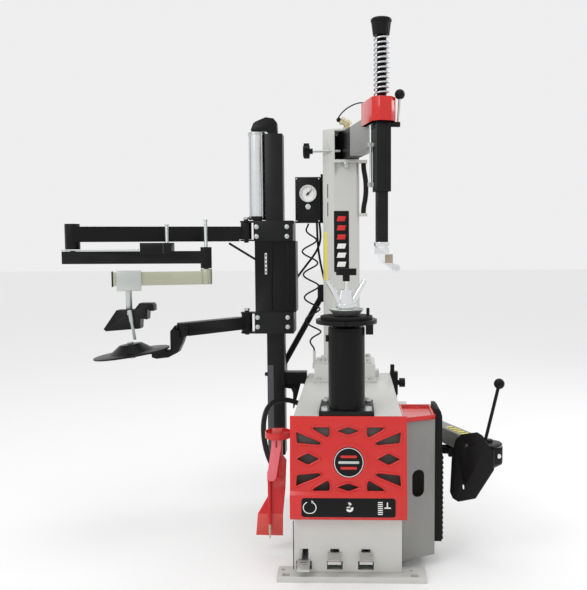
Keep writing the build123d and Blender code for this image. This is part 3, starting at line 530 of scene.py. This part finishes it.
# ---------------------------------------------------------------- front panel details
LEAN = math.atan2(25, 261)
boss_normal = (0, -math.cos(LEAN), math.sin(LEAN))
badge_at = facing(7.5, -437.3 - 1.6, 431 + 0.15, boss_normal)
turned(
    "emblem_disc",
    [(0.1, 0), (52.5, 0), (53.5, 0.6), (53.5, 2.2), (52.5, 2.8), (0.1, 2.8)],
    badge_at,
    "root",
    "black_plastic",
    64,
)
ring_profile = [(49, 2.7), (49, 3.6), (51.5, 3.6), (51.5, 2.7)]
turned("emblem_ring", ring_profile, badge_at, "root", "chrome", 64)
for i, (width, mat) in enumerate(((58, "red_plastic"), (74, "zinc"), (58, "red_plastic"))):
    bar = badge_at @ Matrix.Translation((0, (20 - 20 * i) * MM, 2.7 * MM))
    slab(f"emblem_bar_{i}", rounded(width, 9, 4), 1.0, bar, "root", mat, 0.3)

# Painted shade: a dark brown sheet behind the cover's openings darkens what is seen through them.
slab("shade_sheet_behind_openings", rounded(380, 320, 6), 1.2, facing(6, -416.4, 430), "root", "shade_sheet_behind_openings", 0.3)


def cover_y(z):
    """The cover's front face at a height."""
    return -447 + (z - 330) * 25 / 261


def lip(name, outline, radius=3.8, corner=9.0):
    """The rounded rim around one opening of the cover."""
    path = []
    count = len(outline)
    for i in range(count):
        before = Vector(outline[i - 1])
        here = Vector(outline[i])
        after = Vector(outline[(i + 1) % count])
        start = here + (before - here).normalized() * corner
        end = here + (after - here).normalized() * corner
        for k in range(5):
            t = k / 4
            path.append(start * (1 - t) ** 2 + here * 2 * t * (1 - t) + end * t**2)
    ring = [
        (
            COVER_MIDDLE[0] * MM + p.x * MM,
            cover_y(COVER_MIDDLE[1] + p.y) * MM,
            (COVER_MIDDLE[1] + p.y) * MM,
        )
        for p in path
    ]
    bm = bmesh.new()
    sides = 10
    rows = []
    for i, p in enumerate(ring):
        along = (Vector(ring[(i + 1) % len(ring)]) - Vector(ring[i - 1])).normalized()
        out = Vector((0, -math.cos(LEAN), math.sin(LEAN)))
        across = along.cross(out).normalized()
        row = []
        for k in range(sides):
            a = FULL_TURN * k / sides
            row.append(bm.verts.new(Vector(p) + radius * MM * (across * math.cos(a) + out * math.sin(a))))
        rows.append(row)
    for i, row in enumerate(rows):
        following = rows[(i + 1) % len(rows)]
        for k in range(sides):
            bm.faces.new((row[k], row[(k + 1) % sides], following[(k + 1) % sides], following[k]))
    bmesh.ops.recalc_face_normals(bm, faces=bm.faces)
    piece(name, bm, "root", ["red_plastic"], 60)


CORNER_OPENING = [(-129, 114), (-63, 114), (-61.5, 83.5), (-72, 70), (-127, 102)]
SIDE_OPENING = [(-188, 99), (-104, 65), (-91, 56), (-100, 45), (-184, 53)]
for across in (-1, 1):
    for up in (-1, 1):
        tag = f"{'l' if across > 0 else 'r'}{'t' if up > 0 else 'b'}"
        lip(f"lip_corner_{tag}", [(across * x, up * z) for x, z in CORNER_OPENING])
        lip(f"lip_side_{tag}", [(across * x, up * z) for x, z in SIDE_OPENING])
    lip(
        f"lip_diamond_{'l' if across > 0 else 'r'}",
        [(across * x, z) for x, z in ((-188.5, 0), (-142, 24.5), (-95.5, 0), (-142, -24.5))],
    )
    lip(
        f"lip_lens_{'t' if across > 0 else 'b'}",
        [(x, across * z) for x, z in ((-48, 98), (0, 115.5), (48, 98), (0, 80.5))],
    )

panel_at = facing(6, -458, 275)
slab("control_strip", rounded(330, 68, 10), 1.2, panel_at, "root", "black_plastic", 0.4)
ink_at = panel_at @ Matrix.Translation((0, 0, 1.1 * MM))


def print_shape(name, outline, mat="white_print"):
    """A printed icon on the control strip."""
    slab(name, outline, 0.5, ink_at, "root", mat, 0)


def arc_band(cx, cy, inner, outer, start, end, steps=14):
    """A curved band of an icon."""
    angles = [math.radians(start + (end - start) * i / steps) for i in range(steps + 1)]
    out = [(cx + outer * math.cos(a), cy + outer * math.sin(a)) for a in angles]
    back = [(cx + inner * math.cos(a), cy + inner * math.sin(a)) for a in reversed(angles)]
    return out + back


print_shape("icon_turn_left", arc_band(-138, 0, 19, 22, 110, 275))
print_shape("icon_turn_right", arc_band(-134, 0, 19, 22, -95, 70))
print_shape("icon_turn_tip", [(-122, 21), (-130, 26), (-128, 14)])
print_shape("icon_clamp_palm", arc_band(4, -2, 5, 13, 200, 380))
for i, lean in enumerate((-18, -2, 14, 30)):
    a = math.radians(60 + lean)
    tip = (2 + 24 * math.cos(a) + i * 2 - 10, 2 + 20 * math.sin(a))
    print_shape(
        f"icon_clamp_finger_{i}",
        [(i * 4 - 8, 0), (i * 4 - 5, -1), (tip[0] + 2, tip[1] - 2), (tip[0], tip[1])],
    )
for i in range(7):
    print_shape(
        f"icon_scale_{i}",
        [(103, -24 + i * 7), (120, -24 + i * 7), (120, -20.5 + i * 7), (103, -20.5 + i * 7)],
    )
print_shape("icon_blade", [(126, -2.2), (148, -2.2), (148, 2.2), (126, 2.2)])
print_shape("icon_blade_stem", [(134, 2), (138, 2), (138, 20), (134, 20)])

# thin black edge strip on the cabinet's left front corner
slab(
    "edge_strip",
    rounded(5, 180, 2),
    3,
    facing(-190.5, -414, 120, (-1, 0, 0), (0, -1, 0)),
    "root",
    "black_plastic",
    0.5,
)
# yellow plain label on the bead breaker's arm
arm_dir = Vector(BREAKER_DIRECTION)
label_mid = Vector((235, 250, 470)) + arm_dir * 470
slab(
    "breaker_label",
    rounded(170, 30, 3),
    0.6,
    facing(*label_mid, (0, 0, 1), arm_dir),
    "breaker_arm",
    "yellow_print",
    0.1,
)
for i in range(6):
    stripe_mid = Vector((235, 250, 470.5)) + arm_dir * (405 + 26 * i)
    slab(
        f"breaker_stripe_{i}",
        [(-5, -13), (3, -13), (9, 13), (1, 13)],
        0.5,
        facing(*stripe_mid, (0, 0, 1), arm_dir),
        "breaker_arm",
        "black_plastic",
        0,
    )
turned(
    "breaker_end_bolt",
    [(0.1, 0), (9, 0), (9, 5), (6, 9), (0.1, 10)],
    facing(*(Vector((235, 250, 440)) + arm_dir * 705.5), arm_dir, (0.9019, 0.4319, 0)),
    "breaker_arm",
    "chrome",
    24,
)

# ---------------------------------------------------------------- tower details
slab("tower_plate", rounded(66, 268, 3), 1.2, facing(-26, 240, 1208), "root", "black_plastic", 0.4)
for i in range(6):
    mat = "red_plastic" if i < 3 else "white_print"
    mark = facing(-26, 238.9, 1308 - 40 * i)
    slab(f"tower_mark_{i}", [(-21, -11), (15, -11), (21, 11), (-15, 11)], 0.7, mark, "root", mat, 0.2)
chamfer_normal = (-35, -49, 0)
chamfer_right = (49, -35, 0)
slab(
    "tower_caution",
    rounded(17, 216, 2),
    0.8,
    facing(-97, 267.2, 1143, chamfer_normal, chamfer_right),
    "root",
    "yellow_print",
    0.2,
)
for i, z in enumerate((1430, 1350)):
    slab(
        f"tower_slit_{i}",
        rounded(4, 62, 1.9),
        0.5,
        facing(-86, 259.3, z, chamfer_normal, chamfer_right),
        "root",
        "black_plastic",
        0,
    )
# air swivel on the arm's pivot and the formed line to the head
turned(
    "swivel_base",
    [(0.1, 0), (21, 0), (21, 7), (15, 8), (15, 20), (0.1, 20)],
    facing(2, 262, 1699, (0, 0, 1)),
    "swing_arm",
    "brass",
    6,
)
turned(
    "swivel_body",
    [
        (0.1, 0),
        (15, 0),
        (15, 10),
        (19, 11),
        (19, 22),
        (14, 23),
        (14, 34),
        (18, 35),
        (18, 46),
        (12, 50),
        (0.1, 50),
    ],
    facing(14, 262, 1714, (-0.86, 0, 0.5), (0.5, 0, 0.86)),
    "swing_arm",
    "brass",
    12,
)
turned(
    "swivel_nut",
    [(0.1, 0), (9, 0), (9, 14), (6, 18), (0.1, 18)],
    facing(-28, 262, 1741, (-0.9, 0, -0.2), (0.2, 0, -0.9)),
    "swing_arm",
    "black_plastic",
    12,
)
AIR_LINE = [
    (-44, 262, 1737),
    (-34, 240, 1752),
    (-10, 190, 1768),
    (22, 120, 1774),
    (50, 40, 1768),
    (74, -40, 1752),
    (92, -100, 1722),
    (100, -120, 1700),
]
formed = bpy.data.meshes.new_from_object(spline("air_line_axis", AIR_LINE, 0))
axis_obj = bpy.data.objects["air_line_axis"]
line_points = [tuple(v.co) for v in formed.vertices]
bpy.data.objects.remove(axis_obj)
tube_along("formed_air_line", line_points, 0.0028, "swing_arm", "hose", 10)

# ---------------------------------------------------------------- gauge
dial_at = facing(GAUGE_X, 276, GAUGE_Z)
turned("gauge_dial", [(0.1, 0.2), (33.6, 0.2), (33.6, 0.9), (0.1, 0.9)], dial_at, "root", "white_print", 48)
for i in range(28):
    angle = math.radians(-135 + 10 * i)
    long = i % 3 == 0
    x, z = math.sin(angle), math.cos(angle)
    tick = facing(GAUGE_X + 27 * x, 275.2, GAUGE_Z + 27 * z, (0, -1, 0), (z, 0, -x))
    slab(
        f"gauge_tick_{i}",
        [(-0.6, -4 if long else -1), (0.6, -4 if long else -1), (0.6, 3), (-0.6, 3)],
        0.3,
        tick,
        "root",
        "black_plastic",
        0,
    )
bezel = [(33.5, 0), (33.5, 8), (35, 10.4), (37.5, 10.4), (39.2, 8), (39.2, 0)]
turned("gauge_bezel", bezel, facing(GAUGE_X, 275.5, GAUGE_Z), "root", "chrome", 56)
for i, (x, z) in enumerate(((-225, 1486), (-126, 1486), (-225, 1300), (-126, 1300))):
    turned(
        f"gauge_screw_{i}",
        [(0.1, 0), (3.2, 0), (3, 1.2), (1.5, 2), (0.1, 2.1)],
        facing(x, 275, z),
        "root",
        "zinc",
        16,
    )

# ---------------------------------------------------------------- carriage details
for level, z_low in (("upper", 1232), ("lower", 832)):
    for x in (-399, -265):
        for k in (0, 1):
            bolt_head(
                f"carriage_bolt_{level}_{'l' if x < -300 else 'r'}{k}",
                facing(x, 225, z_low + 42 * k),
                "carriage",
                14,
            )
for name, place in (
    ("upper_hinge_cap", facing(-448, 250, 1308, (0, 0, 1))),
    ("lower_hinge_cap", facing(-450, 250, 904, (0, 0, 1))),
):
    turned(name, [(0.1, 0), (13, 0), (13, 8), (10, 10), (0.1, 10)], place, "carriage", "zinc", 6)
slab("travel_mark", rounded(9, 94, 1), 1, facing(-361, 240, 1112), "carriage", "white_print", 0.2)
for i in range(5):
    slab(
        f"travel_slot_{i}",
        rounded(5, 10, 2),
        0.4,
        facing(-361, 239, 1076 + 18 * i),
        "carriage",
        "black_plastic",
        0,
    )
slab("carriage_rib_left", rounded(10, 300, 3), 5, facing(-338, 240, 1055), "carriage", "black_paint", 1.5)
slab("carriage_rib_right", rounded(14, 300, 3), 4, facing(-262, 240, 1055), "carriage", "black_paint", 1.5)
slab("mast_guide", rounded(26, 406, 3), 3, facing(-348, 270, 451), "root", "cast_iron", 1)
turned(
    "cylinder_foot",
    [(30, 0), (39.5, 0), (39.5, 14), (37, 16), (30, 16)],
    facing(-405, 310, 1307, (0, 0, 1)),
    "carriage",
    "black_paint",
    40,
)
turned(
    "cylinder_head",
    [(30, 0), (38.5, 0), (38.5, 12), (36, 14), (12, 14)],
    facing(-405, 310, 1681, (0, 0, 1)),
    "carriage",
    "zinc",
    40,
)
tie_x = ((-432, 283), (-378, 283), (-432, 337), (-378, 337))
for i, (x, y) in enumerate(tie_x):
    turned(
        f"cylinder_tie_{i}",
        [(0.1, 0), (3, 0), (3, 372), (0.1, 372)],
        facing(x, y, 1315, (0, 0, 1)),
        "carriage",
        "zinc",
        12,
    )
turned(
    "mast_pin",
    [(0.1, 0), (9, 0), (9, 12), (6, 15), (0.1, 15)],
    facing(-364, 300, 607, (-1, 0, 0), (0, 1, 0)),
    "root",
    "black_paint",
    24,
)

# ---------------------------------------------------------------- arm details
slab("hose_channel", rounded(330, 8, 2), 6, facing(-1040, 72, 1174, (0, 0, 1)), "press_arm_2", "zinc", 1)
slab("control_seam", rounded(2, 46, 0.9), 0.5, facing(-772, 72, 1183), "press_arm_2", "cast_iron", 0)
slab("control_face", rounded(92, 34, 4), 1, facing(-822, 72, 1184), "press_arm_2", "black_plastic", 0.4)
for i, (x, y, z, top) in enumerate(((-597, 100, 1299, 9), (-758, 84, 1279, 9))):
    turned(
        f"arm_pin_cap_{i}",
        [(0.1, 0), (top, 0), (top, 3), (top - 2, 5), (0.1, 5)],
        facing(x, y, z, (0, 0, 1)),
        "press_arm_2",
        "zinc",
        24,
    )
slab(
    "slider_line_left",
    [(-14, 3), (-4, 0), (-14, -6), (-13, -8), (0, 0), (-13, 5)],
    0.4,
    facing(-930, -15.5, 1052, (0.2827, -0.9592, 0), (0.9592, 0.2827, 0)),
    "press_slider",
    "cast_iron",
    0,
)

# pedals' treads
for body, x, width, z in (
    ("rotation_pedal", -154.5, 40, 50),
    ("clamp_pedal", -44, 44, 78),
    ("breaker_pedal", 67.5, 42, 79),
):
    normal = Vector((0, -17, 45)).normalized()
    for i in range(4):
        y = -427 - 10 * i
        height = z + 20 - (-421 - y) * 17 / 45
        slab(
            f"{body}_tread_{i}",
            rounded(width - 6, 4, 1.8),
            1.4,
            facing(x, y, height - 0.2, normal),
            body,
            "zinc",
            0.5,
        )

# ---------------------------------------------------------------- ribbed cap on the shaft
CAP_ROWS = [
    (26, 1962, 0),
    (30, 1962, 1),
    (31, 1966, 1),
    (36, 2004, 1),
    (37.5, 2012, 1),
    (39, 2014, 0),
    (39, 2019, 0),
    (36, 2023, 0),
    (24, 2026.5, 0),
    (3, 2027.8, 0),
]
cap = bmesh.new()
cap_rings = []
FLUTES = 22
for radius, height, ribbed in CAP_ROWS:
    ring = []
    for k in range(FLUTES * 6):
        a = FULL_TURN * k / (FLUTES * 6)
        r = radius - (1.6 * (0.5 + 0.5 * math.cos(FLUTES * a)) if ribbed else 0)
        ring.append(
            cap.verts.new(
                ((CAP_AXIS[0] + r * math.cos(a)) * MM, (CAP_AXIS[1] + r * math.sin(a)) * MM, height * MM)
            )
        )
    cap_rings.append(ring)
for low, high in zip(cap_rings, cap_rings[1:]):
    for k in range(len(low)):
        n = (k + 1) % len(low)
        cap.faces.new((low[k], low[n], high[n], high[k]))
cap.faces.new(cap_rings[0][::-1])
cap.faces.new(cap_rings[-1])
bmesh.ops.recalc_face_normals(cap, faces=cap.faces)
cap_piece = piece("ribbed_cap", cap, "mount_shaft", ["black_plastic"], 50)
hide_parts("shaft_cap")

# ---------------------------------------------------------------- spring
coils = []
turns = 12
for i in range(turns * 24 + 1):
    a = FULL_TURN * i / 24
    across = SPRING_AXIS[0] + SPRING_RADIUS * math.cos(a)
    along = SPRING_AXIS[1] + SPRING_RADIUS * math.sin(a)
    coils.append((across, along, SPRING_FOOT + SPRING_HEIGHT * i / (turns * 24)))
spring = tube_along("return_spring_wire", coils, SPRING_WIRE_RADIUS, "swing_arm", "spring_steel", 10)
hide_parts("return_spring")
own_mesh(spring)

# ---------------------------------------------------------------- hoses
ROUTES = {
    "tower_hose": (
        22,
        [
            (72, 249, 1549),
            (72, 249, 1525),
            (80, 245, 1485),
            (83, 245, 1440),
            (80, 248, 1395),
            (71, 252, 1355),
            (71, 252, 1331),
        ],
    ),
    "air_hose_a": (
        10,
        [
            (-138, 319, 1292),
            (-137, 328, 1250),
            (-136, 338, 1205),
            (-132, 346, 1160),
            (-125, 350, 1115),
            (-116, 349, 1072),
            (-107, 345, 1036),
        ],
    ),
    "air_hose_b": (
        10,
        [
            (-126, 303, 1292),
            (-122, 320, 1255),
            (-123, 340, 1215),
            (-136, 359, 1176),
            (-161, 374, 1138),
            (-192, 385, 1100),
            (-226, 392, 1056),
            (-258, 396, 1010),
            (-285, 399, 958),
            (-305, 402, 902),
            (-318, 403, 845),
            (-324, 402, 790),
            (-327, 402, 735),
            (-328, 400, 688),
            (-331, 386, 655),
            (-335, 351, 638),
        ],
    ),
    "blast_hose": (
        22,
        [
            (-188, 240, 470),
            (-226, 228, 492),
            (-268, 205, 510),
            (-306, 168, 516),
            (-332, 118, 512),
            (-344, 60, 498),
            (-346, 0, 478),
            (-342, -60, 452),
            (-332, -116, 420),
            (-316, -164, 384),
            (-294, -202, 350),
            (-268, -228, 330),
            (-258, -240, 320),
        ],
    ),
}
for name, (diameter, route) in ROUTES.items():
    hose = spline(name + "_rubber", route, diameter / 2)
    hose.data.materials.append(MAT["hose"])
    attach(hose, "root")
    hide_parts(name)

# curly hose: a helix that hangs from the gauge box to the riser
COIL_TURNS = 5.5
COIL_RADIUS = 34.0
helix = []
count = int(COIL_TURNS * 14)
for i in range(count + 1):
    t = i / count
    grow = min(1.0, 8 * t, 8 * (1 - t))
    a = FULL_TURN * COIL_TURNS * t + 2.0
    z = 1288 + (718 - 1288) * t
    x = -174 + 22 * t + COIL_RADIUS * grow * math.cos(a)
    y = 290 + COIL_RADIUS * grow * math.sin(a)
    helix.append((x, y, z))
curly = spline("curly_hose_rubber", helix, 3.75)
curly.data.materials.append(MAT["hose"])
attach(curly, "root")
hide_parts("curly_hose")

# ---------------------------------------------------------------- stage
floor_mesh = bpy.data.meshes.new("floor")
floor_mesh.from_pydata([(-30, -30, 0), (30, -30, 0), (30, 30, 0), (-30, 30, 0)], [], [(0, 1, 2, 3)])
floor = bpy.data.objects.new("floor", floor_mesh)
bpy.context.scene.collection.objects.link(floor)
floor_mat = bpy.data.materials.new("floor_paint")
floor_mat.use_nodes = True
floor_shader = floor_mat.node_tree.nodes["Principled BSDF"]
floor_shader.inputs["Base Color"].default_value = (0.93, 0.93, 0.93, 1)
floor_shader.inputs["Roughness"].default_value = 0.9
floor_mesh.materials.append(floor_mat)

world = bpy.data.worlds.new("studio")
bpy.context.scene.world = world
world.use_nodes = True
world.node_tree.nodes["Background"].inputs["Color"].default_value = (1, 1, 1, 1)
world.node_tree.nodes["Background"].inputs["Strength"].default_value = 0.86


def area_light(name, place, target, size, power):
    """A soft light that looks at a point."""
    data = bpy.data.lights.new(name, "AREA")
    data.size = size
    data.energy = power
    lamp = bpy.data.objects.new(name, data)
    lamp.location = place
    lamp.rotation_euler = (Vector(target) - Vector(place)).to_track_quat("-Z", "Y").to_euler()
    bpy.context.scene.collection.objects.link(lamp)


area_light("key", (-2.4, -3.0, 3.6), (0, 0, 0.9), 1.6, 42)
area_light("rim", (2.6, 1.6, 2.8), (0, 0, 1.0), 1.4, 20)
area_light("top", (0, -0.2, 4.2), (0, 0, 0.6), 2.0, 22)

# ---------------------------------------------------------------- camera
camera_data = bpy.data.cameras.new("camera")
camera_data.sensor_width = 36
camera_data.lens = 42.71
camera_data.shift_x = -0.0653
camera = bpy.data.objects.new("camera", camera_data)
camera.location = (0.025, -2.85, 1.193)
look = Matrix.Rotation(math.radians(1.74), 4, "Z") @ Matrix.Rotation(math.radians(90 - 4.086), 4, "X")
camera.rotation_euler = (look @ Matrix.Rotation(math.radians(-0.3), 4, "Z")).to_euler()
bpy.context.scene.collection.objects.link(camera)
bpy.context.scene.camera = camera
bpy.context.scene.view_settings.view_transform = "Standard"
